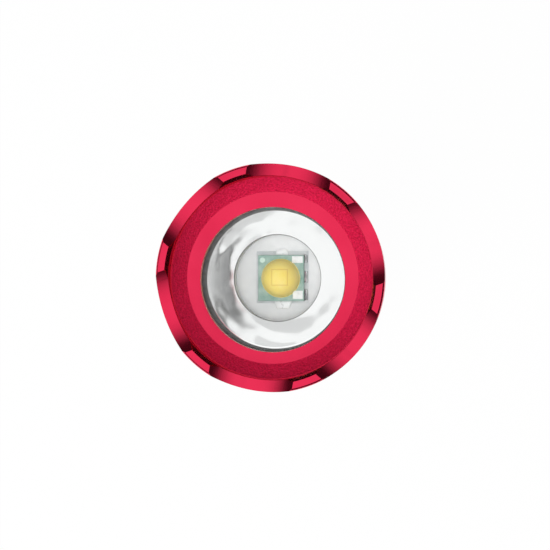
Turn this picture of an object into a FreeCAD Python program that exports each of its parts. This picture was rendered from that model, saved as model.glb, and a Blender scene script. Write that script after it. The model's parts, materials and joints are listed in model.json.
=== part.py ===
import FreeCAD, Part

import math
import os

import Sketcher

# A keychain flashlight for one AAA cell, in millimetres.
# The part stands on its tail with the crown up: Z runs along the axis, and the
# origin is the centre of the flat tail face.  The twisted head is the switch.
# Driving sizes.  Heights stack up from the tail, radii grow out from the cell.

SIZES = {
    "cell_radius": 5.15,
    "cell_height": 43.6,
    "cell_wrap": 0.15,
    "cell_wrap_lip": 0.3,
    "cell_can_wall": 0.2,
    "cell_seal": 0.25,
    "cell_cap_radius": 1.9,
    "cell_cap_height": 0.9,
    "cell_play": 0.2,
    "tube_wall": 1.15,
    "slip_fit": 0.03,
    "press_fit": 0.02,
    "tail_floor": 1.5,
    "notch_play": 1.5,
    "tail_web": 0.8,
    "tail_shoulder": 6.5,
    "tail_spigot": 1.5,
    "tail_spigot_wall": 0.75,
    "tail_edge": 0.5,
    "pin_radius": 0.75,
    "pin_inset": 1.3,
    "pin_depth_low": 1.1,
    "pin_depth_high": 0.55,
    "plate_thickness": 0.2,
    "plate_play": 0.1,
    "spring_height": 4.0,
    "spring_wire": 0.45,
    "spring_play": 0.45,
    "spring_tip_radius": 2.3,
    "spring_turns": 4.0,
    "loop_inner_radius": 4.8,
    "loop_width": 1.2,
    "loop_thickness": 2.0,
    "loop_pin_play": 0.45,
    "loop_back_play": 0.7,
    "loop_floor_play": 0.17,
    "loop_tilt": 11.5,
    "loop_slit": 0.3,
    "loop_slit_depth": 0.35,
    "loop_end_gap": 0.5,
    "thread_pitch": 0.8,
    "thread_depth": 0.4,
    "thread_root_wall": 0.5,
    "thread_crest": 0.07,
    "thread_play": 0.08,
    "thread_side_play": 0.072,
    "thread_flank": 30.0,
    "thread_height": 4.4,
    "thread_relief": 0.8,
    "thread_run_in": 0.2,
    "switch_gap": 0.2,
    "tube_nose_edge": 0.35,
    "seal_land_height": 3.4,
    "seal_play": 0.1,
    "land_play": 0.4,
    "o_ring_wire": 0.8,
    "o_ring_squeeze": 0.05,
    "o_ring_side_play": 0.1,
    "o_ring_height": 1.4,
    "collar_step": 0.1,
    "collar_height": 2.3,
    "collar_gap": 0.3,
    "collar_edge": 0.3,
    "grip_foot_gap": 4.8,
    "grip_collar_gap": 1.4,
    "band_count": 3,
    "band_margin": 0.7,
    "band_groove": 0.35,
    "band_groove_height": 0.8,
    "tube_flutes": 24,
    "flute_radius": 0.7,
    "flute_depth": 0.3,
    "contact_height": 0.5,
    "contact_radius": 1.6,
    "ground_ring_thickness": 0.2,
    "ground_ring_width": 0.7,
    "driver_thickness": 1.0,
    "driver_room": 2.7,
    "pill_wall": 0.6,
    "pill_plate": 1.5,
    "board_thickness": 1.0,
    "spacer_height": 2.18,
    "spacer_wall": 0.75,
    "spacer_gap": 0.05,
    "reflector_depth": 2.02,
    "reflector_foot": 0.1,
    "reflector_rim": 0.7,
    "mirror_width": 1.92,
    "reflector_bulge": 0.05,
    "lens_thickness": 1.0,
    "gasket_thickness": 0.5,
    "gasket_inset": 0.2,
    "head_wall": 0.95,
    "skirt_wall": 0.97,
    "skirt_edge": 0.35,
    "skirt_flutes": 18,
    "skirt_flute_margin": 1.2,
    "shoulder_step": 0.2,
    "shoulder_rise": 0.8,
    "fin_zone": 4.2,
    "fin_start": 0.45,
    "fin_spacing": 1.3,
    "fin_slot": 0.7,
    "fin_depth": 0.8,
    "fin_count": 3,
    "crown_wall": 1.09,
    "crown_skirt": 4.9,
    "crown_foot_edge": 0.35,
    "lip_overlap": 0.7,
    "lip_height": 0.45,
    "lip_width": 0.95,
    "lip_rise": 0.35,
    "recess_rise": 1.0,
    "recess_wall": 0.9,
    "rim_wall": 0.83,
    "tooth_inner_slope": 0.23,
    "tooth_inner_edge": 0.4,
    "tooth_outer_edge": 0.14,
    "scallop_radius": 4.9,
    "scallop_depth": 1.0,
    "scallop_count": 6,
    "scallop_turn": 20.0,
    "led_side": 3.45,
    "led_height": 0.8,
    "led_x": 0.08,
    "led_y": -0.07,
    "die_side": 1.1,
    "die_height": 0.15,
    "dome_radius": 1.42,
    "lead_radius": 0.3,
    "lead_hole_play": 0.12,
    "lead_stand": 0.3,
    "solder_radius": 0.5,
    "solder_play": 0.05,
    "solder_height": 0.45,
    "chip_width": 2.6,
    "chip_depth": 2.2,
    "chip_height": 0.9,
    "chip_x": -2.4,
    "coil_radius": 1.4,
    "coil_height": 1.8,
    "coil_x": 2.2,
    "coil_y": -1.3,
    "store_width": 1.6,
    "store_depth": 2.4,
    "store_height": 1.3,
    "store_x": 1.8,
    "store_y": 1.8,
    "overcut": 1.0,
}


class Length:
    """A number kept together with the sheet formula that gives it."""

    def __init__(self, value, formula):
        self.value = float(value)
        self.formula = formula

    def join(self, other, sign, value):
        return Length(value, f"({self.formula} {sign} {as_length(other).formula})")

    def __add__(self, other):
        return self.join(other, "+", self.value + as_length(other).value)

    def __radd__(self, other):
        return as_length(other) + self

    def __sub__(self, other):
        return self.join(other, "-", self.value - as_length(other).value)

    def __mul__(self, other):
        return self.join(other, "*", self.value * as_length(other).value)

    def __rmul__(self, other):
        return as_length(other) * self

    def __truediv__(self, other):
        return self.join(other, "/", self.value / as_length(other).value)

    def __neg__(self):
        return Length(-self.value, f"(0 - {self.formula})")


def as_length(value):
    return value if isinstance(value, Length) else Length(value, str(value))


class Named:
    """The driving sizes, read as size.name."""


document = FreeCAD.newDocument("keychain_flashlight")
sheet = document.addObject("Spreadsheet::Sheet", "Sizes")
size = Named()
for row, (name, value) in enumerate(SIZES.items(), start=1):
    sheet.set(f"A{row}", name)
    sheet.set(f"B{row}", str(value))
    sheet.setAlias(f"B{row}", name)
    setattr(size, name, Length(value, f"Sizes.{name}"))
document.recompute()

ZERO = Length(0, "0")
NODES = {}


# Helpers for sketches and features


def role(body, wanted):
    """One of the body's own origin planes or axes."""
    return next(feature for feature in body.Origin.OriginFeatures if feature.Role == wanted)


def place(node, across=ZERO, deep=ZERO, up=ZERO):
    """Seat a node by formulas for its X, Y and Z."""
    for axis, length in (("x", across), ("y", deep), ("z", up)):
        if length.formula != "0":
            node.setExpression(f"Placement.Base.{axis}", length.formula)


def new_body(label, **seat):
    body = document.addObject("PartDesign::Body", label)
    body.Label = label
    place(body, **seat)
    NODES[label] = body
    return body


def new_sketch(body, plane, name, lift=ZERO):
    sketch = body.newObject("Sketcher::SketchObject", f"{body.Name}_{name}_outline")
    sketch.AttachmentSupport = [(role(body, plane), "")]
    sketch.MapMode = "FlatFace"
    if lift.formula != "0":
        sketch.setExpression("AttachmentOffset.Base.z", lift.formula)
    return sketch


def hold(sketch, geometry, point, across, up):
    """Tie one sketch point to two formulas measured from the sketch's origin.

    In a sketch, geometry -1 is the level axis with the origin, and -2 the upright axis.
    """
    for kind, length, axis in (("DistanceX", across, -2), ("DistanceY", up, -1)):
        if length.value == 0:
            sketch.addConstraint(Sketcher.Constraint("PointOnObject", geometry, point, axis))
            continue
        start, end = (-1, 1), (geometry, point)
        if length.value < 0:
            start, end, length = end, start, -length
        index = sketch.addConstraint(Sketcher.Constraint(kind, *start, *end, length.value))
        sketch.setExpression(f"Constraints[{index}]", length.formula)


def polygon(sketch, corners):
    """A closed outline whose corners are pairs of lengths."""
    count = len(corners)
    spots = [FreeCAD.Vector(across.value, up.value, 0) for across, up in corners]
    for index in range(count):
        sketch.addGeometry(Part.LineSegment(spots[index], spots[(index + 1) % count]))
    for index in range(count):
        sketch.addConstraint(Sketcher.Constraint("Coincident", index, 2, (index + 1) % count, 1))
    for index, (across, up) in enumerate(corners):
        hold(sketch, index, 1, across, up)


def rectangle(sketch, left, right, low, high):
    polygon(sketch, [(left, low), (right, low), (right, high), (left, high)])


def circle(sketch, radius, across=ZERO, up=ZERO):
    centre = FreeCAD.Vector(across.value, up.value, 0)
    index = sketch.addGeometry(Part.Circle(centre, FreeCAD.Vector(0, 0, 1), radius.value))
    hold(sketch, index, 3, across, up)
    row = sketch.addConstraint(Sketcher.Constraint("Radius", index, radius.value))
    sketch.setExpression(f"Constraints[{row}]", radius.formula)


def revolve(body, corners):
    """Turn an outline of radius and height pairs about the body's Z axis."""
    sketch = new_sketch(body, "XZ_Plane", "turned")
    polygon(sketch, corners)
    feature = body.newObject("PartDesign::Revolution", f"{body.Name}_turned")
    feature.Profile = sketch
    feature.ReferenceAxis = (sketch, ["V_Axis"])
    feature.Angle = 360
    return feature


def pad(body, sketch, height, name="pad"):
    feature = body.newObject("PartDesign::Pad", f"{body.Name}_{name}")
    feature.Profile = sketch
    feature.setExpression("Length", height.formula)
    return feature


def cut(body, sketch, depth, name, both_ways=False, along_normal=True):
    """Pocket a sketch, and stop if it took nothing away."""
    document.recompute()
    before = body.Shape.Volume
    feature = body.newObject("PartDesign::Pocket", f"{body.Name}_{name}")
    feature.Profile = sketch
    feature.setExpression("Length", depth.formula)
    feature.Midplane = both_ways
    feature.Reversed = along_normal and not both_ways
    document.recompute()
    if not body.Shape.Volume < before:
        raise RuntimeError(f"{feature.Name} cuts nothing")
    return feature


def around(body, feature, count, name):
    """Repeat a feature round the body's Z axis."""
    pattern = body.newObject("PartDesign::PolarPattern", f"{body.Name}_{name}")
    pattern.Originals = [feature]
    pattern.Axis = (role(body, "Z_Axis"), [""])
    pattern.Angle = 360
    pattern.setExpression("Occurrences", count.formula)
    body.Tip = pattern
    return pattern


def thread_groove(body, corners, height):
    """Cut a right-hand helical groove with this section, rising by height."""
    document.recompute()
    before = body.Shape.Volume
    sketch = new_sketch(body, "XZ_Plane", "thread")
    polygon(sketch, corners)
    feature = body.newObject("PartDesign::SubtractiveHelix", f"{body.Name}_thread")
    feature.Profile = sketch
    feature.ReferenceAxis = (sketch, ["V_Axis"])
    feature.Mode = "pitch-height-angle"
    feature.setExpression("Pitch", size.thread_pitch.formula)
    feature.setExpression("Height", height.formula)
    document.recompute()
    if not body.Shape.Volume < before:
        raise RuntimeError(f"{feature.Name} cuts nothing")


def disc(label, radius, thickness, up, holes=()):
    """A flat round plate with round holes given as radius, across, deep."""
    body = new_body(label, up=up)
    sketch = new_sketch(body, "XY_Plane", "disc")
    circle(sketch, radius)
    for hole_radius, across, deep in holes:
        circle(sketch, hole_radius, across, deep)
    pad(body, sketch, thickness)
    return body


def ring(label, inner, outer, thickness, up):
    return disc(label, outer, thickness, up, holes=[(inner, ZERO, ZERO)])


def block(label, width, depth, height, **seat):
    """A box centred on its seat, standing on it."""
    body = new_body(label, **seat)
    sketch = new_sketch(body, "XY_Plane", "block")
    rectangle(sketch, -width / 2, width / 2, -depth / 2, depth / 2)
    pad(body, sketch, height)
    return body


def post(label, radius, height, **seat):
    """An upright round rod standing on its seat."""
    node = document.addObject("Part::Cylinder", label)
    node.Label = label
    node.setExpression("Radius", radius.formula)
    node.setExpression("Height", height.formula)
    place(node, **seat)
    NODES[label] = node
    return node


def flutes(body, wall_radius, start, height, count, name):
    """Shallow upright grooves round the outside, for the fingers."""
    sketch = new_sketch(body, "XY_Plane", name, lift=start)
    circle(sketch, size.flute_radius, wall_radius + size.flute_radius - size.flute_depth)
    return around(body, cut(body, sketch, height, name), count, f"{name}_round")


# Heights, stacked up from the tail face

notch_height = size.loop_thickness + size.notch_play
notch_top = size.tail_floor + notch_height
plate_level = notch_top + size.tail_web
spring_level = plate_level + size.plate_thickness
cell_level = spring_level + size.spring_height
contact_level = cell_level + size.cell_height + size.cell_cap_height
driver_level = contact_level + size.contact_height
ground_level = driver_level - size.ground_ring_thickness
component_level = driver_level + size.driver_thickness
pill_level = component_level + size.driver_room
board_level = pill_level + size.pill_plate
led_level = board_level + size.board_thickness
spacer_top = led_level + size.spacer_height
lens_level = spacer_top + size.reflector_depth
gasket_level = lens_level + size.lens_thickness
lip_level = gasket_level + size.gasket_thickness
crown_level = lip_level - size.crown_skirt


# Radii, grown out from the cell

tube_bore = size.cell_radius + size.cell_play
tube_radius = tube_bore + size.tube_wall
tail_spigot_radius = tube_bore - size.press_fit
tail_recess = tail_spigot_radius - size.tail_spigot_wall
spring_foot_radius = tail_recess - size.spring_wire / 2 - size.spring_play
male_root = tube_bore + size.thread_root_wall
male_crest = male_root + size.thread_depth
female_crest = male_root + size.thread_play
female_root = male_crest + size.thread_play
seal_bore = tube_radius + size.seal_play
insert_radius = female_crest - size.slip_fit * 2
spigot_radius = female_crest + size.head_wall
crown_bore = spigot_radius + size.slip_fit
crown_radius = crown_bore + size.crown_wall
shoulder_radius = crown_radius - size.shoulder_step
skirt_radius = female_root + size.skirt_wall
collar_radius = skirt_radius - size.collar_step
lip_radius = insert_radius - size.lip_overlap
recess_radius = crown_radius - size.rim_wall
o_ring_root = seal_bore - size.o_ring_squeeze - size.o_ring_wire
reflector_inner = insert_radius - size.reflector_rim
reflector_hole = reflector_inner - size.mirror_width
spacer_inner = reflector_hole + size.spacer_gap
spacer_outer = spacer_inner + size.spacer_wall
lead_offset = spacer_outer + size.solder_play + size.solder_radius
lead_hole = size.lead_radius + size.lead_hole_play

# Places of the pin, of the key ring round it and of the notch that they share

loop_outer = size.loop_inner_radius + size.loop_width
loop_offset = size.loop_inner_radius - size.pin_radius - size.loop_pin_play
pin_offset = tube_radius - size.pin_inset
notch_back = pin_offset + loop_offset - loop_outer - size.loop_back_play
tilt_sine = Length(math.sin(math.radians(size.loop_tilt.value)), f"sin({size.loop_tilt.formula} * 1deg)")
tilt_cosine = Length(math.cos(math.radians(size.loop_tilt.value)), f"cos({size.loop_tilt.formula} * 1deg)")
loop_level = size.loop_floor_play + loop_outer * tilt_sine + size.loop_thickness / 2 * tilt_cosine

# Heights of the screwed joint

tube_top = ground_level - size.switch_gap
thread_top = ground_level - size.thread_relief
thread_foot = thread_top - size.thread_height
head_mouth = thread_foot - size.seal_land_height
collar_top = head_mouth - size.collar_gap
land_top = thread_foot - size.land_play
collar_foot = collar_top - size.collar_height
collar_slope_foot = collar_foot - (collar_radius - tube_radius)
shoulder_foot = crown_level - size.fin_zone

# Grooves and fluted bands share out the barrel between the tail and the collar

grip_foot = size.tail_shoulder + size.grip_foot_gap
grip_length = collar_slope_foot - size.grip_collar_gap - size.band_groove_height - grip_foot
band_spacing = grip_length / size.band_count
band_height = band_spacing - size.band_groove_height - size.band_margin * 2

# Thread flanks slope by the tangent of their angle, and both grooves follow one helix

flank_tangent = math.tan(math.radians(size.thread_flank.value))
flank_slope = Length(flank_tangent, f"tan({size.thread_flank.formula} * 1deg)")
half_pitch = size.thread_pitch / 2
thread_start = land_top + size.thread_run_in


def male_groove_section(centre):
    outside = size.thread_play * 2
    wide = half_pitch - size.thread_crest + flank_slope * outside
    narrow = half_pitch - size.thread_crest - flank_slope * size.thread_depth
    return [
        (male_crest + outside, centre - wide),
        (male_crest + outside, centre + wide),
        (male_root, centre + narrow),
        (male_root, centre - narrow),
    ]


def female_groove_section(centre):
    inside = size.thread_play
    wide = size.thread_crest + size.thread_side_play + flank_slope * size.thread_depth
    narrow = size.thread_crest + size.thread_side_play - flank_slope * size.thread_play
    return [
        (female_crest - inside, centre - wide),
        (female_root, centre - narrow),
        (female_root, centre + narrow),
        (female_crest - inside, centre + wide),
    ]


# The tail: a plug that closes the tube, notched for the key ring


def make_tail_cap():
    body = new_body("tail_cap")
    outer, edge = tube_radius, size.tail_edge
    spigot_top = size.tail_shoulder + size.tail_spigot
    revolve(body, [
        (ZERO, ZERO),
        (outer - edge, ZERO),
        (outer, edge),
        (outer, size.tail_shoulder),
        (tail_spigot_radius, size.tail_shoulder),
        (tail_spigot_radius, spigot_top),
        (tail_recess, spigot_top),
        (tail_recess, plate_level),
        (ZERO, plate_level),
    ])
    notch = new_sketch(body, "XZ_Plane", "notch")
    rectangle(notch, -outer - size.overcut, -notch_back, size.tail_floor, notch_top)
    cut(body, notch, outer * 2 + size.overcut, "notch", both_ways=True)
    pin_top = notch_top + size.pin_depth_high
    seat = new_sketch(body, "XY_Plane", "pin_seat", lift=size.tail_floor - size.pin_depth_low)
    circle(seat, size.pin_radius + size.press_fit, -pin_offset)
    seat_depth = pin_top - size.tail_floor + size.pin_depth_low
    cut(body, seat, seat_depth, "pin_seat")


def make_ring_pin():
    low = size.tail_floor - size.pin_depth_low
    height = size.pin_depth_low + notch_height + size.pin_depth_high
    post("ring_pin", size.pin_radius, height, across=-pin_offset, up=low)


def make_tail_spring():
    """A tapered coil: an Archimedean spiral that climbs, as one unbroken wire."""
    wire = size.spring_wire.value / 2
    rise = size.spring_height.value - 2 * wire
    foot = spring_foot_radius.value
    tip = size.spring_tip_radius.value
    turns = size.spring_turns.value
    steps_per_turn = 4
    steps = int(turns * steps_per_turn)

    def spot(step):
        share = step / steps
        angle = 2 * math.pi * step / steps_per_turn
        radius = foot + (tip - foot) * share
        return FreeCAD.Vector(radius * math.cos(angle), radius * math.sin(angle), wire + rise * share)

    # Each stretch is an arc through its two ends and the point of the coil between them.
    arcs = [Part.Arc(spot(step), spot(step + 0.5), spot(step + 1)) for step in range(steps)]
    path = Part.Wire([arc.toShape() for arc in arcs])
    start = arcs[0]
    circle_edge = Part.Circle(spot(0), start.tangent(start.FirstParameter)[0], wire).toShape()
    sweep = Part.BRepOffsetAPI.MakePipeShell(path)
    sweep.add(Part.Wire(circle_edge))
    sweep.build()
    sweep.makeSolid()
    node = document.addObject("Part::Feature", "tail_spring")
    node.Label = "tail_spring"
    node.Shape = sweep.shape()
    place(node, up=spring_level)
    NODES["tail_spring"] = node
    print("tail_spring least gap between turns", round((rise / turns) - 2 * wire, 2))


# The barrel: collar, seal land, screw thread and a grip of fluted bands


def make_body_tube():
    body = new_body("body_tube")
    nose, edge = size.tube_nose_edge, size.collar_edge
    o_ring_low = head_mouth + size.o_ring_height - size.o_ring_side_play
    o_ring_high = o_ring_low + size.o_ring_wire + size.o_ring_side_play * 2
    outline = [(tube_bore, size.tail_shoulder), (tube_radius, size.tail_shoulder)]
    for band in range(int(size.band_count.value) + 1):
        low = grip_foot + band_spacing * band
        high = low + size.band_groove_height
        floor = tube_radius - size.band_groove
        outline += [(tube_radius, low), (floor, low), (floor, high), (tube_radius, high)]
    outline += [
        (tube_radius, collar_slope_foot),
        (collar_radius, collar_foot),
        (collar_radius, collar_top - edge),
        (collar_radius - edge, collar_top),
        (tube_radius, collar_top),
        (tube_radius, o_ring_low),
        (o_ring_root, o_ring_low),
        (o_ring_root, o_ring_high),
        (tube_radius, o_ring_high),
        (tube_radius, land_top),
        (male_root, land_top),
        (male_root, land_top + size.thread_relief),
        (male_crest, land_top + size.thread_relief),
        (male_crest, tube_top - nose),
        (male_crest - nose, tube_top),
        (tube_bore, tube_top),
    ]
    revolve(body, outline)
    for band in range(int(size.band_count.value)):
        start = grip_foot + band_spacing * band + size.band_groove_height + size.band_margin
        flutes(body, tube_radius, start, band_height, size.tube_flutes, f"flutes_{band + 1}")
    rise = tube_top - thread_start + size.thread_pitch
    thread_groove(body, male_groove_section(thread_start), rise)


def make_tube_o_ring():
    node = document.addObject("Part::Torus", "tube_o_ring")
    node.Label = "tube_o_ring"
    wire = size.o_ring_wire / 2
    node.setExpression("Radius1", (o_ring_root + wire).formula)
    node.setExpression("Radius2", wire.formula)
    place(node, up=head_mouth + size.o_ring_height + wire)
    NODES["tube_o_ring"] = node


# The cell: steel can, its filling, plain wrap, seal and positive cap


def make_cell():
    can_radius = size.cell_radius - size.cell_wrap
    can_height = size.cell_height - size.cell_seal
    cap_flange = size.cell_cap_radius + size.cell_wrap_lip * 2
    fill_radius = can_radius - size.cell_can_wall
    can = new_body("cell_can", up=cell_level)
    revolve(can, [
        (ZERO, ZERO),
        (can_radius, ZERO),
        (can_radius, can_height),
        (fill_radius, can_height),
        (fill_radius, size.cell_can_wall),
        (ZERO, size.cell_can_wall),
    ])
    disc("cell_fill", fill_radius, can_height - size.cell_can_wall, cell_level + size.cell_can_wall)
    wrap_height = size.cell_height - size.cell_wrap_lip
    ring("cell_wrap", can_radius, size.cell_radius, wrap_height, cell_level + size.cell_wrap_lip)
    seal_level = cell_level + can_height
    ring("cell_seal", cap_flange, can_radius, size.cell_seal, seal_level)
    cap = new_body("cell_cap", up=seal_level)
    cap_top = size.cell_seal + size.cell_cap_height
    revolve(cap, [
        (ZERO, ZERO),
        (cap_flange, ZERO),
        (cap_flange, size.cell_seal),
        (size.cell_cap_radius, size.cell_seal),
        (size.cell_cap_radius, cap_top),
        (ZERO, cap_top),
    ])


# The head: a fluted skirt, cooling fins and the spigot that carries the crown


def make_head_body():
    body = new_body("head_body")
    edge = size.skirt_edge
    skirt_top = shoulder_foot - size.shoulder_rise
    outline = [
        (seal_bore, head_mouth),
        (skirt_radius - edge, head_mouth),
        (skirt_radius, head_mouth + edge),
        (skirt_radius, skirt_top),
        (shoulder_radius, shoulder_foot),
    ]
    for fin in range(int(size.fin_count.value)):
        low = shoulder_foot + size.fin_start + size.fin_spacing * fin
        high = low + size.fin_slot
        floor = shoulder_radius - size.fin_depth
        outline += [(shoulder_radius, low), (floor, low), (floor, high), (shoulder_radius, high)]
    outline += [
        (shoulder_radius, crown_level),
        (spigot_radius, crown_level),
        (spigot_radius, gasket_level),
        (female_crest, gasket_level),
        (female_crest, ground_level),
        (female_root + size.press_fit, ground_level),
        (female_root + size.press_fit, thread_top),
        (female_crest, thread_top),
        (female_crest, thread_foot),
        (seal_bore, thread_foot),
    ]
    revolve(body, outline)
    start = head_mouth + size.skirt_flute_margin
    height = skirt_top - size.skirt_flute_margin - start
    flutes(body, skirt_radius, start, height, size.skirt_flutes, "flutes")
    # Half a pitch off the tube's groove, this groove lies round the tube's ridge.
    start = thread_start - half_pitch
    thread_groove(body, female_groove_section(start), thread_top - start + size.thread_relief / 2)


def make_crown_bezel():
    body = new_body("crown_bezel")
    outer, foot_edge = crown_radius, size.crown_foot_edge
    lip_edge = lip_level + size.lip_height
    lip_top = lip_edge + size.lip_rise
    recess_top = lip_top + size.recess_rise
    wall_top = recess_top + size.recess_wall
    crown_top = wall_top + size.tooth_inner_edge
    revolve(body, [
        (crown_bore, crown_level),
        (outer - foot_edge, crown_level),
        (outer, crown_level + foot_edge),
        (outer, crown_top - size.tooth_outer_edge),
        (outer - size.tooth_outer_edge, crown_top),
        (recess_radius + size.tooth_inner_slope, crown_top),
        (recess_radius, wall_top),
        (recess_radius, recess_top),
        (lip_radius + size.lip_width, lip_top),
        (lip_radius, lip_edge),
        (lip_radius, lip_level),
        (crown_bore, lip_level),
    ])
    sketch = new_sketch(body, "YZ_Plane", "scallop")
    circle(sketch, size.scallop_radius, ZERO, crown_top + size.scallop_radius - size.scallop_depth)
    scallop = cut(body, sketch, outer + size.overcut, "scallop")
    around(body, scallop, size.scallop_count, "scallops")
    body.setExpression("Placement.Rotation.Angle", size.scallop_turn.formula)


# The optics: reflector, lens, gasket and the spacer that centres the light source


def make_reflector():
    body = new_body("reflector", up=spacer_top)
    middle = (reflector_inner + reflector_hole) / 2 + size.reflector_bulge
    foot = size.reflector_foot
    revolve(body, [
        (reflector_hole, ZERO),
        (insert_radius, ZERO),
        (insert_radius, size.reflector_depth),
        (reflector_inner, size.reflector_depth),
        (middle, (size.reflector_depth + foot) / 2),
        (reflector_hole, foot),
    ])


def make_optics():
    disc("lens", insert_radius, size.lens_thickness, lens_level)
    gasket_outer = crown_bore - size.gasket_inset
    ring("lens_gasket", lip_radius + size.gasket_inset, gasket_outer, size.gasket_thickness, gasket_level)
    ring("centering_ring", spacer_inner, spacer_outer, size.spacer_height, led_level)


def make_light_source():
    seat = {"across": size.led_x, "deep": size.led_y}
    block("led_substrate", size.led_side, size.led_side, size.led_height, up=led_level, **seat)
    die_level = led_level + size.led_height
    block("led_die", size.die_side, size.die_side, size.die_height, up=die_level, **seat)
    dome = document.addObject("Part::Sphere", "dome_ball")
    dome.setExpression("Radius", size.dome_radius.formula)
    dome.Angle1 = 0
    room = document.addObject("Part::Box", "dome_room")
    room.setExpression("Length", size.die_side.formula)
    room.setExpression("Width", size.die_side.formula)
    room.setExpression("Height", size.die_height.formula)
    half = -size.die_side / 2
    room.setExpression("Placement.Base.x", half.formula)
    room.setExpression("Placement.Base.y", half.formula)
    shell = document.addObject("Part::Cut", "led_dome")
    shell.Label = "led_dome"
    shell.Base = dome
    shell.Tool = room
    place(shell, up=die_level, **seat)
    NODES["led_dome"] = shell


# The driver: pill, boards, contacts, parts and leads


def make_pill():
    body = new_body("heat_sink_pill", up=component_level)
    inner = insert_radius - size.pill_wall
    top = size.driver_room + size.pill_plate
    revolve(body, [
        (inner, ZERO),
        (insert_radius, ZERO),
        (insert_radius, top),
        (ZERO, top),
        (ZERO, size.driver_room),
        (inner, size.driver_room),
    ])
    sketch = new_sketch(body, "XY_Plane", "lead_holes", lift=size.driver_room)
    for side in (1, -1):
        circle(sketch, lead_hole, ZERO, lead_offset * side)
    cut(body, sketch, size.pill_plate, "lead_holes")


def make_driver():
    lead_holes = [(lead_hole, ZERO, lead_offset * side) for side in (1, -1)]
    disc("led_board", insert_radius, size.board_thickness, board_level, holes=lead_holes)
    disc("driver_board", insert_radius, size.driver_thickness, driver_level)
    ground_inner = insert_radius - size.ground_ring_width
    ring("ground_ring", ground_inner, insert_radius, size.ground_ring_thickness, ground_level)
    post("centre_contact", size.contact_radius, size.contact_height, up=contact_level)
    block("driver_chip", size.chip_width, size.chip_depth, size.chip_height,
          across=size.chip_x, up=component_level)
    block("driver_capacitor", size.store_width, size.store_depth, size.store_height,
          across=size.store_x, deep=size.store_y, up=component_level)
    post("driver_coil", size.coil_radius, size.coil_height,
         across=size.coil_x, deep=size.coil_y, up=component_level)
    lead_height = led_level - component_level + size.lead_stand
    for name, side in (("positive", 1), ("negative", -1)):
        deep = lead_offset * side
        post(f"lead_{name}", size.lead_radius, lead_height, deep=deep, up=component_level)
        make_solder(f"solder_{name}", deep)


def make_solder(label, deep):
    """A low mound of solder round the end of a lead, on the light's board."""
    body = new_body(label, deep=deep, up=led_level)
    inner = size.lead_radius
    revolve(body, [
        (inner, ZERO),
        (size.solder_radius, ZERO),
        (inner + size.slip_fit, size.solder_height),
        (inner, size.solder_height),
    ])


# The key ring: a split ring round the pin, its two turns parted by a slit


def make_split_ring():
    body = new_body("split_ring", across=-pin_offset - loop_offset, up=loop_level)
    inner, outer = size.loop_inner_radius, loop_outer
    half = size.loop_thickness / 2
    slit, mouth = size.loop_slit_depth, size.loop_slit / 2
    revolve(body, [
        (inner, -half),
        (outer, -half),
        (outer, -mouth),
        (outer - slit, ZERO),
        (outer, mouth),
        (outer, half),
        (inner, half),
        (inner, mouth),
        (inner + slit, ZERO),
        (inner, -mouth),
    ])
    # Each turn ends at a small gap, one above the slit and one below it, on the outer side.
    for name, side, lift in (("upper_end", 1, ZERO), ("lower_end", -1, -half)):
        sketch = new_sketch(body, "XY_Plane", name, lift=lift)
        middle = size.loop_inner_radius / 2 * side
        low, high = middle - size.loop_end_gap / 2, middle + size.loop_end_gap / 2
        rectangle(sketch, -outer - size.overcut, -inner / 2, low, high)
        cut(body, sketch, half, name)
    body.Placement.Rotation = FreeCAD.Rotation(FreeCAD.Vector(0, -1, 0), size.loop_tilt.value)
    body.setExpression("Placement.Rotation.Angle", size.loop_tilt.formula)


make_tail_cap()
make_ring_pin()
disc("contact_plate", tail_recess - size.plate_play, size.plate_thickness, plate_level)
make_tail_spring()
make_body_tube()
make_tube_o_ring()
make_cell()
make_head_body()
make_crown_bezel()
make_reflector()
make_optics()
make_light_source()
make_pill()
make_driver()
make_split_ring()
document.recompute()

# Nothing is written unless every object came out whole

for thing in document.Objects:
    if "Invalid" in thing.State or "Error" in thing.State:
        raise RuntimeError(f"{thing.Name} failed: {thing.State}")
for label, node in NODES.items():
    if node.Shape.isNull() or not node.Shape.isValid() or not node.Shape.Solids:
        raise RuntimeError(f"{label} has no sound shape")

os.makedirs("parts", exist_ok=True)
for label, node in NODES.items():
    node.Shape.exportStep(f"parts/{label}.step")
    box = node.Shape.BoundBox
    print(f"{label:18} solids {len(node.Shape.Solids)}  volume {node.Shape.Volume:9.3f}"
          f"  Z {box.ZMin:7.3f} to {box.ZMax:7.3f}  R {max(box.XMax, -box.XMin):6.3f}")
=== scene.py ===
# %% [markdown]
# # A keychain flashlight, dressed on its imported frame
#
# The light is looked at almost straight down its axis, into the head. It has a red anodised crown with
# six scallops, a blasted recess, a smooth lip, a clear lens, a mirror reflector and a yellow-domed light
# source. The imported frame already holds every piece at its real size. This file rebuilds the pieces that
# the eye rests on with finer forms, and gives every piece a finish of its own.

# %% Load the frame
import json
import math

import bmesh
import bpy
from mathutils import Matrix, Vector


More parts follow.
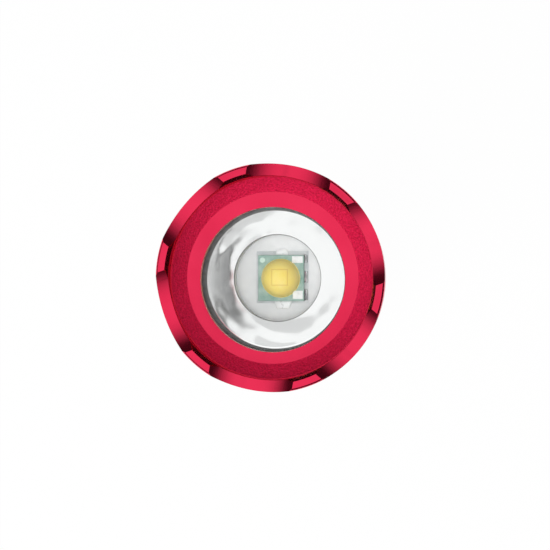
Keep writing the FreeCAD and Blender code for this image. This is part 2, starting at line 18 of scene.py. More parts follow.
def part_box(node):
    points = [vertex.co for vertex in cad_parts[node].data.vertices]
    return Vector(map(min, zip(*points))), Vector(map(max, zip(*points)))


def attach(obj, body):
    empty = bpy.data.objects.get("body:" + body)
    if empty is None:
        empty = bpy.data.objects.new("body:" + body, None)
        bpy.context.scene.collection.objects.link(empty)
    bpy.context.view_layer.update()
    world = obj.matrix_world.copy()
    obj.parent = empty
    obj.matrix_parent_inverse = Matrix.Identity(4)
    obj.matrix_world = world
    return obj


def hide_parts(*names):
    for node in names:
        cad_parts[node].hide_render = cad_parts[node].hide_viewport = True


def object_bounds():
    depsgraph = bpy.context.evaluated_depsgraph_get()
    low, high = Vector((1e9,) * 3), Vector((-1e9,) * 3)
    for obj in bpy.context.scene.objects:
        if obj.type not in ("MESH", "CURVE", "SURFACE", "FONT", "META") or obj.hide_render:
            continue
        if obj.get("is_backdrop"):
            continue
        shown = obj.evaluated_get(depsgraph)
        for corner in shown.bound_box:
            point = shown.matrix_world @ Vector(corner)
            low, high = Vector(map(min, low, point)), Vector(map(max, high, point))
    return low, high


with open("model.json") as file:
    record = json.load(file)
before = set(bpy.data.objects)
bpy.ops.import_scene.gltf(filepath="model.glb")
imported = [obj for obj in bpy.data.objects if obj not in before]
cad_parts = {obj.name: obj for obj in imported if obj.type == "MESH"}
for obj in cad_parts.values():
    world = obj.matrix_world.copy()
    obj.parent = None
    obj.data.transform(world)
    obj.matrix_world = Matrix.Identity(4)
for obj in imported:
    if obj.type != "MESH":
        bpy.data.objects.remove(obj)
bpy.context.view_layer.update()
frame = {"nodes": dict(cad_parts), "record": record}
nodes = frame["nodes"]

# %% [markdown]
# Lengths on a piece this small are easiest to read in millimetres, while Blender works in metres. One
# named factor turns the one into the other, and small functions read a node's place from the frame.

# %% Millimetres, and places from the frame
MM = 0.001


def bottom(node):
    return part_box(node)[0].z / MM


def top(node):
    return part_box(node)[1].z / MM


def outer_radius(node):
    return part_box(node)[1].y / MM


def middle(node, axis):
    low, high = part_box(node)
    return (low[axis] + high[axis]) / 2 / MM


CROWN_TOP = top("crown_bezel")
CROWN_FOOT = bottom("crown_bezel")
CROWN_RADIUS = outer_radius("crown_bezel")
BOARD_TOP = top("led_board")
LED_TOP = top("led_substrate")
# The light source is drawn a hair to the upper right of its packed place, where the photograph has it.
LED_SHIFT_X = 0.05
LED_SHIFT_Y = 0.06
LED_X = middle("led_substrate", 0) + LED_SHIFT_X
LED_Y = middle("led_substrate", 1) + LED_SHIFT_Y
print("crown", round(CROWN_FOOT, 2), "to", round(CROWN_TOP, 2), "radius", round(CROWN_RADIUS, 2))
print("light source at", round(LED_X, 2), round(LED_Y, 2))

# %% [markdown]
# ## The camera
#
# The photograph looks down on the head with a slight lean, so that deeper rings sit a little to the right
# of the rim. The camera stands above the crown, leans by those two small angles and aims at the rim's
# plane. The lens is long, so that the barrel behind the head stays hidden.

# %% Camera
CAMERA_DISTANCE = 95
CAMERA_LEAN_X = 5.1
CAMERA_LEAN_Y = -0.3
RIM_FRAME_WIDTH = 38.15
SENSOR = 36
RIM_IN_FRAME = Vector((-0.396, -0.187, 0))

camera_data = bpy.data.cameras.new("camera")
camera = bpy.data.objects.new("camera", camera_data)
bpy.context.scene.collection.objects.link(camera)
bpy.context.scene.camera = camera
camera_data.sensor_width = SENSOR
camera_data.lens = SENSOR * CAMERA_DISTANCE / RIM_FRAME_WIDTH
camera_data.clip_start = 0.005
camera_data.clip_end = 10
aim = Vector((0, 0, CROWN_TOP)) - RIM_IN_FRAME
lean_x, lean_y = math.radians(CAMERA_LEAN_X), math.radians(CAMERA_LEAN_Y)
toward = Vector((math.tan(lean_x), math.tan(lean_y), 1)).normalized()
camera.location = (aim + toward * CAMERA_DISTANCE) * MM
# The picture's up stays along +Y, and the camera looks back along its lean.
right = Vector((0, 1, 0)).cross(toward).normalized()
up = toward.cross(right)
camera.matrix_world = Matrix.Translation(camera.location) @ Matrix((right, up, toward)).transposed().to_4x4()
print("camera lens", round(camera_data.lens, 1), "mm")

# %% [markdown]
# ## Shader helpers
#
# A material is a small tree of nodes. One function adds a node with its settings and what goes into it,
# and the short ones below it each make one common step of a finish.

# %% Add nodes


def new_material(name):
    material = bpy.data.materials.new(name)
    material.use_nodes = True
    material.node_tree.nodes.clear()
    return material, material.node_tree


def add(tree, kind, inputs=None, **settings):
    """Add a node. Each input is another node's output, a number, a vector or a colour."""
    node = tree.nodes.new("ShaderNode" + kind)
    for setting, value in settings.items():
        setattr(node, setting, value)
    for name, value in (inputs or {}).items():
        socket = node.inputs[name]
        if isinstance(value, bpy.types.NodeSocket):
            tree.links.new(value, socket)
        elif socket.type == "RGBA":
            socket.default_value = (*value, 1)
        else:
            socket.default_value = value
    return node


def show(tree, shader):
    add(tree, "OutputMaterial", {"Surface": shader.outputs[0]})


# %% Sums, ranges and mixes


def maths(tree, operation, *values):
    return add(tree, "Math", dict(enumerate(values)), operation=operation).outputs[0]


def ranged(tree, value, start, end, low, high, **settings):
    """A number that runs from low to high as the value goes from start to end."""
    inputs = {"Value": value, "From Min": start, "From Max": end, "To Min": low, "To Max": high}
    return add(tree, "MapRange", inputs, **settings).outputs["Result"]


def mixed(tree, share, first, second, colour=True):
    """The first where the share is 0, and the second where it is 1."""
    start, result, kind = (6, 2, "RGBA") if colour else (2, 0, "FLOAT")
    return add(tree, "Mix", {0: share, start: first, start + 1: second}, data_type=kind).outputs[result]


def blended(tree, share, first, second):
    """One shader from two: the first where the share is 0, and the second where it is 1."""
    return add(tree, "MixShader", {0: share, 1: first.outputs[0], 2: second.outputs[0]})


# %% [markdown]
# ## Floor and background
#
# The background is pure white. Stronger lamps would whiten the floor too, but would bleach the red. So the
# floor gets its white from a little glow that only the camera, mirrors and glass see, laid over a plain
# pale paint that still takes the object's shadow.

# %% Floor
FLOOR_SIZE = 1.2
FLOOR_PAINT = (0.85, 0.85, 0.85)
FLOOR_GLOW = 0.97


def seen_directly(tree):
    """1 for rays from the camera, from a mirror and through glass, and 0 for light."""
    path = add(tree, "LightPath")
    seen = path.outputs["Is Camera Ray"]
    for ray in ("Is Glossy Ray", "Is Transmission Ray"):
        seen = maths(tree, "MAXIMUM", seen, path.outputs[ray])
    return seen


bpy.ops.object.select_all(action="DESELECT")
bpy.ops.mesh.primitive_plane_add(size=FLOOR_SIZE, location=(0, 0, 0))
floor = bpy.context.object
floor.name = "floor"
floor_paint, floor_tree = new_material("floor_paint")
paint = add(floor_tree, "BsdfDiffuse", {"Color": FLOOR_PAINT})
glow = add(floor_tree, "Emission", {"Strength": 1.0})
glow_share = maths(floor_tree, "MULTIPLY", seen_directly(floor_tree), FLOOR_GLOW)
show(floor_tree, blended(floor_tree, glow_share, paint, glow))
floor.data.materials.append(floor_paint)
floor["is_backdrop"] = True
print("floor", FLOOR_SIZE, "m across")

# %% [markdown]
# ## Light
#
# Anodised metal shows what is above it. A ring of lamps could light the crown, but each would leave a spot
# in the metal. A pale dome of light that fades towards the horizon makes flat faces bright and steep faces
# dark, as on the real crown, and leaves no spots.

# %% World
ZENITH = 1.08
HORIZON = 0.05
BRIGHT_SIDE = Vector((-0.1, -0.13, 1)).normalized()
FADE_FROM = 0.4
FADE_TO = 1.0

world = bpy.data.worlds.new("studio")
bpy.context.scene.world = world
world.use_nodes = True
sky_tree = world.node_tree
sky_tree.nodes.clear()
direction = add(sky_tree, "TexCoord").outputs["Generated"]
height = add(sky_tree, "VectorMath", {0: direction, 1: BRIGHT_SIDE}, operation="DOT_PRODUCT")
fade = ranged(
    sky_tree, height.outputs["Value"], FADE_FROM, FADE_TO, HORIZON, ZENITH, interpolation_type="SMOOTHSTEP"
)
camera_ray = add(sky_tree, "LightPath").outputs["Is Camera Ray"]
sky_strength = mixed(sky_tree, camera_ray, fade, 1.0, colour=False)
sky = add(sky_tree, "Background", {"Color": (1, 1, 1), "Strength": sky_strength})
add(sky_tree, "OutputWorld", {"Surface": sky.outputs[0]})
bpy.context.scene.view_settings.view_transform = "Standard"
print("sky from", HORIZON, "at the horizon to", ZENITH, "overhead")

# %% [markdown]
# One broad lamp gives matt surfaces a direction, and a second one above lights the board at the foot of
# the well. Mirrors don't show either of them, so the metal keeps the look that the sky gives it.

# %% Lamps
# Each lamp has its place and its width in millimetres, and its power in watts.
lamps = {
    "soft_lamp": (Vector((-150, -170, 250)), 240, 0.5),
    "well_lamp": (Vector((10, -10, 360)), 120, 0.36),
}
for name, (spot, width, power) in lamps.items():
    lamp_data = bpy.data.lights.new(name, "AREA")
    lamp_data.shape = "DISK"
    lamp_data.size = width * MM
    lamp_data.energy = power
    lamp = bpy.data.objects.new(name, lamp_data)
    lamp.location = spot * MM
    lamp.rotation_euler = (Vector((0, 0, CROWN_TOP * MM)) - lamp.location).to_track_quat("-Z", "Y").to_euler()
    lamp.visible_glossy = False
    bpy.context.scene.collection.objects.link(lamp)
    print(name, power, "W")

# %% [markdown]
# A photographer holds cards over shiny things, to shape what they mirror. Two faint grey ones high up keep
# the mirror bowl from looking like one flat tone. The camera and matt surfaces don't see them.

# %% Grey cards
CARD_HEIGHT = 400
# Each card has its place across and deep and its radius in millimetres, and its brightness.
cards = {
    "card_upper": (18, 36, 24, 0.74),
    "card_lower": (42, -28, 17, 0.8),
}
for name, (across, deep, radius, tone) in cards.items():
    bpy.ops.object.select_all(action="DESELECT")
    bpy.ops.mesh.primitive_circle_add(
        vertices=64, radius=radius * MM, fill_type="NGON", location=(across * MM, deep * MM, CARD_HEIGHT * MM)
    )
    card = bpy.context.object
    card.name = name
    card_paint, card_tree = new_material(name)
    show(card_tree, add(card_tree, "Emission", {"Strength": tone}))
    card.data.materials.append(card_paint)
    card.visible_camera = False
    card.visible_shadow = False
    card.visible_diffuse = False
    card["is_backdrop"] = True
    print(name, tone)

# %% [markdown]
# ## Helpers for modelling
#
# Every new piece starts from a primitive, in a scene where nothing else is selected, because an operator
# acts on all that is selected. A finished piece has its place in its mesh, and rides on the head.

# %% Select and finish


def deselect():
    active = bpy.context.view_layer.objects.active
    if active and active.mode != "OBJECT":
        bpy.ops.object.mode_set(mode="OBJECT")
    bpy.ops.object.select_all(action="DESELECT")


def pick(piece):
    deselect()
    piece.select_set(True)
    bpy.context.view_layer.objects.active = piece


def settle(piece):
    """Put the piece's place and turn into its mesh, so that its object sits at the origin."""
    pick(piece)
    bpy.ops.object.transform_apply(location=True, rotation=True, scale=True)


def outward(piece):
    """Join the points that coincide, and turn every face outward."""
    pick(piece)
    bpy.ops.object.mode_set(mode="EDIT")
    bpy.ops.mesh.select_all(action="SELECT")
    bpy.ops.mesh.remove_doubles(threshold=0.000001)
    bpy.ops.mesh.normals_make_consistent(inside=False)
    bpy.ops.object.mode_set(mode="OBJECT")


def smooth(piece, angle):
    pick(piece)
    bpy.ops.object.shade_smooth_by_angle(angle=math.radians(angle))


def soften(piece, width, angle=28, smooth_angle=28):
    """Break the sharp edges, as a maker does, and shade by angle."""
    pick(piece)
    bevel = piece.modifiers.new("edges", "BEVEL")
    bevel.width = width * MM
    bevel.segments = 2
    bevel.limit_method = "ANGLE"
    bevel.angle_limit = math.radians(angle)
    bevel.harden_normals = False
    bpy.ops.object.modifier_apply(modifier=bevel.name)
    smooth(piece, smooth_angle)


def finish_piece(piece, material, slot, *replaced):
    """Dress a piece of the head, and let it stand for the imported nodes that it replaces."""
    settle(piece)
    piece.data.materials.clear()
    piece.data.materials.append(material)
    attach(piece, "head")
    if replaced:
        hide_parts(*replaced)
    print(piece.name, "faces", len(piece.data.polygons))


# %% [markdown]
# Most pieces of a flashlight come from a lathe. The Spin operator could turn an outline about the axis,
# but it leaves a seam to merge. Here one ring of points is pulled along the outline instead, ring by ring,
# and its two ends are bridged or capped.

# %% Turn an outline


def turned(name, outline, steps=192, ends="bridge"):
    """A lathe in operators: one ring, extruded and resized from point to point of the outline."""
    deselect()
    radius, height = outline[0]
    bpy.ops.mesh.primitive_circle_add(vertices=steps, radius=radius * MM, location=(0, 0, height * MM))
    piece = bpy.context.object
    piece.name = name
    settle(piece)
    bpy.ops.object.mode_set(mode="EDIT")
    bpy.ops.mesh.select_all(action="SELECT")
    for (radius, height), (next_radius, next_height) in zip(outline, outline[1:]):
        rise = (next_height - height) * MM
        bpy.ops.mesh.extrude_region_move(TRANSFORM_OT_translate={"value": (0, 0, rise)})
        share = next_radius / radius
        bpy.ops.transform.resize(value=(share, share, 1), center_override=(0, 0, 0))
    if ends == "cap":
        bpy.ops.mesh.edge_face_add()
    bpy.ops.mesh.select_all(action="DESELECT")
    bpy.ops.mesh.select_non_manifold()
    if ends == "cap":
        bpy.ops.mesh.edge_face_add()
    else:
        bpy.ops.mesh.bridge_edge_loops()
    outward(piece)
    return piece


# %% [markdown]
# ## Finishes
#
# Each finish is a Principled shader whose colour, roughness and bump come from noise on the piece's own
# coordinates, in grain sizes of the real surface. A picture could carry them too, but noise has no seams
# and stays sharp from any distance.

# %% Places and grain
NOISE_LOW = 0.3
NOISE_HIGH = 0.7


def on_piece(tree):
    return add(tree, "TexCoord").outputs["Object"]


def from_axis(tree):
    """How far a point lies from the light's axis, in metres."""
    flat = add(tree, "VectorMath", {0: on_piece(tree), 1: (1, 1, 0)}, operation="MULTIPLY")
    return add(tree, "VectorMath", {0: flat.outputs[0]}, operation="LENGTH").outputs["Value"]


def grain(tree, per_mm, detail=3.0, stretch=(1, 1, 1)):
    """Noise on the piece's own coordinates, with so many grains to the millimetre."""
    place = add(tree, "Mapping", {"Vector": on_piece(tree), "Scale": stretch}).outputs[0]
    inputs = {"Vector": place, "Scale": per_mm / MM, "Detail": detail}
    return add(tree, "TexNoise", inputs).outputs["Fac"]


def between(tree, noise, low, high):
    """A number from low to high, over the span where nearly all of the noise lies."""
    return ranged(tree, noise, NOISE_LOW, NOISE_HIGH, low, high)


def bump(tree, height, depth):
    inputs = {"Strength": 1.0, "Distance": depth * MM, "Height": height}
    return add(tree, "Bump", inputs).outputs[0]


# %% The common finish


def speckled(name, first, second, per_mm, rough, depth, metallic=0.0, stretch=(1, 1, 1), coat=0.0):
    """Two tints, a roughness band and a fine bump, all from one grain."""
    material, tree = new_material(name)
    fine = grain(tree, per_mm, stretch=stretch)
    show(tree, add(tree, "BsdfPrincipled", {
        "Base Color": mixed(tree, between(tree, fine, 0, 1), first, second),
        "Roughness": between(tree, fine, *rough),
        "Metallic": metallic,
        "Coat Weight": coat,
        "Normal": bump(tree, fine, depth),
    }))
    return material


# %% [markdown]
# ## Red anodising
#
# The crown is turned, then blasted only in the steep part of its recess, then dyed and sealed. One
# material does both: a mask from the distance to the axis and the height picks out the blasted band, where
# the grain is deep and the shine is broken. Everywhere else a very fine turning mark runs round the axis.

# %% The crown's recess and its blasted band
LIP_OUTER = 6.12
RECESS_RADIUS = 7.17
RECESS_DEPTH = 1.3
SLOPE_DEPTH = 2.3
LIP_DEPTH = 2.42
BLAST_MARGIN = 0.05

BLAST_INNER = LIP_OUTER
BLAST_OUTER = RECESS_RADIUS - BLAST_MARGIN
BLAST_LOW = CROWN_TOP - SLOPE_DEPTH - 3 * BLAST_MARGIN
BLAST_HIGH = CROWN_TOP - RECESS_DEPTH + BLAST_MARGIN


def inside_band(tree):
    """1 within the blasted band, by distance from the axis and by height, and 0 elsewhere."""
    radius = from_axis(tree)
    height = add(tree, "SeparateXYZ", {0: on_piece(tree)}).outputs["Z"]
    limits = (
        (radius, BLAST_INNER, "GREATER_THAN"),
        (radius, BLAST_OUTER, "LESS_THAN"),
        (height, BLAST_LOW, "GREATER_THAN"),
        (height, BLAST_HIGH, "LESS_THAN"),
    )
    mask = 1.0
    for value, edge, test in limits:
        mask = maths(tree, "MULTIPLY", mask, maths(tree, test, value, edge * MM))
    return mask


print("blasted from", round(BLAST_INNER, 2), "to", round(BLAST_OUTER, 2), "mm from the axis")

# %% Red anodising
RED = (0.8, 0.032, 0.092)
RED_DEEP = (0.75, 0.026, 0.08)
RED_ROUGH = (0.17, 0.24)
BLASTED_LIGHT = (0.92, 0.014, 0.095)
BLASTED_DARK = (0.56, 0.004, 0.04)
BLASTED_ROUGH = (0.5, 0.62)
BLASTED_METALLIC = 0.45
PIT_HEIGHT = 7
MARK_DEPTH = 0.002


def red_anodised(name, blasted):
    material, tree = new_material(name)
    clouds = grain(tree, 0.35, detail=2.0)
    marks = grain(tree, 6.0, detail=4.0, stretch=(1, 1, 5))
    colour = mixed(tree, between(tree, clouds, 0, 1), RED, RED_DEEP)
    rough = between(tree, marks, *RED_ROUGH)
    height = marks
    metallic = 1.0
    if blasted:
        mask = inside_band(tree)
        pits = grain(tree, 8.0, detail=4.0)
        pit_colour = mixed(tree, between(tree, pits, 0, 1), BLASTED_DARK, BLASTED_LIGHT)
        colour = mixed(tree, mask, colour, pit_colour)
        rough = mixed(tree, mask, rough, between(tree, pits, *BLASTED_ROUGH), colour=False)
        height = mixed(tree, mask, marks, between(tree, pits, -PIT_HEIGHT, PIT_HEIGHT), colour=False)
        metallic = ranged(tree, mask, 0, 1, 1.0, BLASTED_METALLIC)
    show(tree, add(tree, "BsdfPrincipled", {
        "Base Color": colour,
        "Roughness": rough,
        "Metallic": metallic,
        "Normal": bump(tree, height, MARK_DEPTH),
    }))
    return material


crown_red = red_anodised("crown_red", blasted=True)
barrel_red = red_anodised("barrel_red", blasted=False)
print("made", crown_red.name, "and", barrel_red.name)

# %% [markdown]
# ## The crown
#
# On the real light the crown is a turned ring with six shallow scallops milled across its rim. The outline
# below walks round the ring's section: up the outside, over the teeth, down the recess to a fine groove,
# along the blasted slope to the smooth lip, and down the bore.

# %% Turn the crown
BORE = outer_radius("lens_gasket") + 0.2
LIP_RADIUS = 5.17
GROOVE_WIDTH = 0.07
GROOVE_FOOT = RECESS_DEPTH + 0.2
TOOTH_INNER = 7.4
TOOTH_SLOPE = 0.4
TOOTH_EDGE = 0.14
FOOT_EDGE = 0.35
GASKET_TOP = top("lens_gasket")

crown = turned("crown", [
    (BORE, CROWN_FOOT),
    (CROWN_RADIUS - FOOT_EDGE, CROWN_FOOT),
    (CROWN_RADIUS, CROWN_FOOT + FOOT_EDGE),
    (CROWN_RADIUS, CROWN_TOP - TOOTH_EDGE),
    (CROWN_RADIUS - TOOTH_EDGE, CROWN_TOP),
    (TOOTH_INNER, CROWN_TOP),
    (RECESS_RADIUS, CROWN_TOP - TOOTH_SLOPE),
    (RECESS_RADIUS, CROWN_TOP - GROOVE_FOOT),
    (RECESS_RADIUS - GROOVE_WIDTH, CROWN_TOP - GROOVE_FOOT),
    (RECESS_RADIUS - GROOVE_WIDTH, CROWN_TOP - RECESS_DEPTH - GROOVE_WIDTH),
    (LIP_OUTER, CROWN_TOP - SLOPE_DEPTH),
    (LIP_RADIUS, CROWN_TOP - LIP_DEPTH),
    (LIP_RADIUS, GASKET_TOP),
    (BORE, GASKET_TOP),
], steps=288)
print("crown turned,", len(crown.data.vertices), "points")

# %% [markdown]
# The light's opening sits a touch low in the rim, as in the photograph. Points that lie near the axis are
# picked by their distance and moved, which is easiest before the milling adds more of them.

# %% Set the opening in its place
LIP_SHIFT = 0.13


def shift_inner(piece, radius, across, deep):
    """Move the points that lie within a radius of the axis."""
    for vertex in piece.data.vertices:
        if Vector(vertex.co.xy).length < radius * MM:
            vertex.co.x += across * MM
            vertex.co.y += deep * MM


shift_inner(crown, LIP_RADIUS + 0.05, 0, -LIP_SHIFT)
print("opening moved by", LIP_SHIFT, "mm")

# %% [markdown]
# The scallops could be drawn point by point in the ring, but a cutter makes the real ones, and a Boolean
# with a rod gives the same crisp meeting lines. Each of three long rods makes two scallops, one on either
# side. After that every edge is broken.

# %% Mill the scallops
SCALLOP_RADIUS = 4.9
SCALLOP_DEPTH = 1.0
SCALLOP_TURN = 19.4
SCALLOPS = 6

for index in range(SCALLOPS // 2):
    angle = math.radians(SCALLOP_TURN + index * 360 / SCALLOPS)
    deselect()
    bpy.ops.mesh.primitive_cylinder_add(
        vertices=256,
        radius=SCALLOP_RADIUS * MM,
        depth=CROWN_RADIUS * 2.5 * MM,
        location=(0, 0, (CROWN_TOP - SCALLOP_DEPTH + SCALLOP_RADIUS) * MM),
        rotation=(0, math.pi / 2, angle),
    )
    rod = bpy.context.object
    pick(crown)
    mill = crown.modifiers.new("mill", "BOOLEAN")
    mill.operation = "DIFFERENCE"
    mill.solver = "EXACT"
    mill.object = rod
    bpy.ops.object.modifier_apply(modifier=mill.name)
    bpy.data.objects.remove(rod)
outward(crown)
soften(crown, 0.04, angle=24, smooth_angle=16)
finish_piece(crown, crown_red, "anodised_red", "crown_bezel")

# %% [markdown]
# ## The reflector
#
# The reflector is a moulded bowl with a mirror inside. Its wall curves gently from the hole to the rim. A
# curve object could give that line, but a short formula for the outline's points is easier to adjust.

# %% Reflector
HOLE_RADIUS = 3.25
RIM_RADIUS = 5.02
BOWL_STEPS = 18
BOWL_BULGE = 0.05
BOWL_WALL = 0.2
BOWL_FOOT = bottom("reflector")
BOWL_TOP = top("reflector") - 0.03
BOWL_OUTER = outer_radius("reflector")


def bowl_point(step):
    share = step / BOWL_STEPS
    radius = HOLE_RADIUS + (RIM_RADIUS - HOLE_RADIUS) * share
    radius += BOWL_BULGE * math.sin(math.pi * share)
    return radius, BOWL_FOOT + BOWL_WALL + (BOWL_TOP - BOWL_FOOT - BOWL_WALL) * share


bowl_outline = [(HOLE_RADIUS, BOWL_FOOT), (BOWL_OUTER, BOWL_FOOT), (BOWL_OUTER, BOWL_TOP)]
bowl_outline += [bowl_point(step) for step in range(BOWL_STEPS, -1, -1)]
bowl = turned("reflector_bowl", bowl_outline, steps=256)
smooth(bowl, 30)
print("bowl", round(BOWL_TOP - BOWL_FOOT, 2), "mm deep")

# %% [markdown]
# The mirror is a film of metal laid down in a vacuum. It needs no colour of its own: a metal with very
# little roughness shows the sky and the cards, and a faint waviness of the moulding breaks their edges.

# %% Mirror coat
MIRROR = (0.97, 0.97, 0.97)
MIRROR_DULL = (0.94, 0.94, 0.94)
MIRROR_ROUGH = (0.04, 0.08)
WAVE_DEPTH = 0.02

mirror_coat, tree = new_material("mirror_coat")
haze = grain(tree, 0.25, detail=2.0)
show(tree, add(tree, "BsdfPrincipled", {
    "Base Color": mixed(tree, haze, MIRROR, MIRROR_DULL),
    "Roughness": between(tree, haze, *MIRROR_ROUGH),
    "Metallic": 1.0,
    "Normal": bump(tree, grain(tree, 0.5, detail=1.0), WAVE_DEPTH),
}))
finish_piece(bowl, mirror_coat, "mirror_coat", "reflector")

# %% [markdown]
# The coating stops at the rim and at the hole, where bare grey plastic shows. The two thin grey rings are
# partly that plastic and partly painted shade: the ring round the hole stands in for the shadow in the gap
# under the bowl's foot, and the ring at the rim for the shaded gap under the lip. A mask could paint these
# edges on the bowl, but two thin rings also catch the light as edges do. The rim's ring is a touch wider on
# one side, so that its painted shade shows there as a crescent.

# %% Bare plastic and painted gap shade at the rim and round the hole
# The rim's ring is moved to one side, so that its painted shade is wider there.
RIM_SHADE_SHIFT_X = 0.03
RIM_SHADE_SHIFT_Y = -0.12
FACE_RISE = 0.02
EDGE_WIDTH = 0.05

# Grey of bare plastic, used also as painted shade for the gaps at the rim and round the hole.
bare_plastic_and_gap_shade = speckled("bare_plastic_and_gap_shade", (0.14, 0.14, 0.14), (0.24, 0.24, 0.24), 3.0, (0.5, 0.7), 0.01)
rim_face = turned("reflector_rim_bare_and_shade", [
    (RIM_RADIUS, BOWL_TOP),
    (BOWL_OUTER, BOWL_TOP),
    (BOWL_OUTER, BOWL_TOP + FACE_RISE),
    (RIM_RADIUS + 0.01, BOWL_TOP + FACE_RISE),
])
shift_inner(rim_face, RIM_RADIUS + 0.1, RIM_SHADE_SHIFT_X, RIM_SHADE_SHIFT_Y)
finish_piece(rim_face, bare_plastic_and_gap_shade, "mirror_coat")

hole_edge = turned("reflector_hole_bare_and_shade", [
    (HOLE_RADIUS - EDGE_WIDTH, BOWL_FOOT),
    (HOLE_RADIUS + 0.01, BOWL_FOOT),
    (HOLE_RADIUS + 0.02, BOWL_FOOT + BOWL_WALL),
    (HOLE_RADIUS - EDGE_WIDTH / 2, BOWL_FOOT + BOWL_WALL),
])
finish_piece(hole_edge, bare_plastic_and_gap_shade, "mirror_coat")

# %% [markdown]
# ## The light source
#
# A power LED is a small ceramic tile with a printed green top, pale metal pads in two corners, a dot that
# marks polarity, and a clear dome tinted yellow by the phosphor on its square die. The tile, its pads and
# the solder round it all start as plates: a cube at its real size, with its edges broken.

# %% Plates


def plate(name, width, depth, height, x, y, foot, edge=0.03):
    """A thin block that stands on foot, with its edges broken."""
    deselect()
    bpy.ops.mesh.primitive_cube_add(size=1, location=(x * MM, y * MM, (foot + height / 2) * MM))
    piece = bpy.context.object
    piece.name = name
    piece.scale = (width * MM, depth * MM, height * MM)
    settle(piece)
    soften(piece, edge)
    return piece


# %% [markdown]
# The printing lies a hair below the tile's rim. A second plate would do for it, but an inset of the top
# face keeps the tile one piece, with a small step that catches the light.

# %% Tile
LED_SIDE = 3.45
TILE_RIM = 0.1
PRINT_DEPTH = 0.015
FACING_UP = 0.99
SAME_HEIGHT = 1e-7

tile = plate("led_tile", LED_SIDE, LED_SIDE, LED_TOP - BOARD_TOP, LED_X, LED_Y, BOARD_TOP, edge=0.04)
pick(tile)
highest = max(vertex.co.z for vertex in tile.data.vertices)
bpy.ops.object.mode_set(mode="EDIT")
bpy.ops.mesh.select_all(action="DESELECT")
shape = bmesh.from_edit_mesh(tile.data)
for face in shape.faces:
    at_top = face.calc_center_median().z > highest - SAME_HEIGHT
    face.select_set(at_top and face.normal.z > FACING_UP)
bmesh.update_edit_mesh(tile.data)
bpy.ops.mesh.inset(thickness=TILE_RIM * MM, depth=-PRINT_DEPTH * MM)
bpy.ops.object.mode_set(mode="OBJECT")
tile_green = speckled("tile_green", (0.2, 0.37, 0.32), (0.42, 0.56, 0.51), 1.6, (0.35, 0.5), 0.01)
finish_piece(tile, tile_green, "led_green", "led_substrate")

# %% [markdown]
# The tile stands on a pale printed field that shows as a thin border round it. It could be a stain in the
# board's finish, but as a thin plate it has an edge of its own and keeps its place under the tile.

# %% Printed field
FIELD_SIDE = 3.95
FIELD_RISE = 0.03
FIELD_X = LED_X + 0.06
FIELD_Y = LED_Y + 0.08

field_pale = speckled("field_pale", (0.62, 0.64, 0.66), (0.78, 0.79, 0.8), 1.8, (0.3, 0.5), 0.01)
field = plate("printed_field", FIELD_SIDE, FIELD_SIDE, FIELD_RISE, FIELD_X, FIELD_Y, BOARD_TOP, edge=0.01)
finish_piece(field, field_pale, "led_green")

# %% [markdown]
# The two pads are as bright as fresh tin, and lie proud of the printing. The dot is a droplet of paint, so
# it is turned, with a sloping shoulder, and then moved to its corner.

# %% Corner pads and polarity dot
PAD_RISE = 0.035
DOT_RADIUS = 0.2
DOT_X = LED_X - 1.4
DOT_Y = LED_Y + 1.36

pad_white = speckled("pad_white", (0.8, 0.83, 0.84), (0.93, 0.94, 0.95), 2.4, (0.25, 0.45), 0.015)
# Each pad has its width and depth, and how far it lies across and up from the tile's middle.
corner_pads = {
    "corner_pad_upper": (0.82, 0.5, 1.24, 1.4),
    "corner_pad_lower": (0.76, 0.62, 1.27, -1.25),
}
for name, (width, depth, across, deep) in corner_pads.items():
    pad = plate(name, width, depth, PAD_RISE, LED_X + across, LED_Y + deep, LED_TOP - PRINT_DEPTH)
    finish_piece(pad, pad_white, "led_green")

dot_mint = speckled("dot_mint", (0.58, 0.75, 0.68), (0.66, 0.82, 0.75), 3.0, (0.35, 0.45), 0.01)
dot = turned("polarity_dot", [
    (DOT_RADIUS, LED_TOP - PRINT_DEPTH),
    (DOT_RADIUS, LED_TOP + 0.01),
    (DOT_RADIUS * 0.8, LED_TOP + 0.02),
], steps=32, ends="cap")
dot.location = (DOT_X * MM, DOT_Y * MM, 0)
finish_piece(dot, dot_mint, "led_green")

# %% [markdown]
# Solder flows out from under the tile, as flat tabs above and below. A sculpted blob would do, but a plate
# whose far side is drawn in tapers the same way, from four numbers.

# %% Solder tabs
TAB_RISE = 0.12
TAB_TAPER = 0.72

tab_solder = speckled(
    "tab_solder", (0.9, 0.9, 0.91), (0.97, 0.97, 0.97), 2.0, (0.25, 0.45), 0.02, metallic=0.2
)
# Each tab has the same four numbers as a pad.
tabs = {
    "solder_tab_upper": (1.0, 0.5, 0.02, 1.98),
    "solder_tab_lower": (1.35, 0.62, 0.12, -2.0),
}
for name, (width, depth, across, deep) in tabs.items():
    x, y = LED_X + across, LED_Y + deep
    tab = plate(name, width, depth, TAB_RISE, x, y, BOARD_TOP, edge=0.05)
    for vertex in tab.data.vertices:
        if (vertex.co.y / MM - y) * deep > 0:
            vertex.co.x = x * MM + (vertex.co.x - x * MM) * TAB_TAPER
    finish_piece(tab, tab_solder, "solder")

# %% [markdown]
# Along one side the solder has climbed the tile in three uneven fillets. Each is a plate with a wide
# broken edge, and its upper points lean towards the tile, as molten metal does.

# %% Solder fillets
FILLET_HEIGHT = 0.5
FILLET_BITE = 0.05
FILLET_LEAN = 0.12
FILLET_EDGE = 0.1
TILE_EDGE_X = LED_X + LED_SIDE / 2

fillet_solder = speckled(
    "fillet_solder", (0.85, 0.85, 0.86), (0.28, 0.28, 0.3), 2.6, (0.08, 0.3), 0.06, metallic=1.0
)
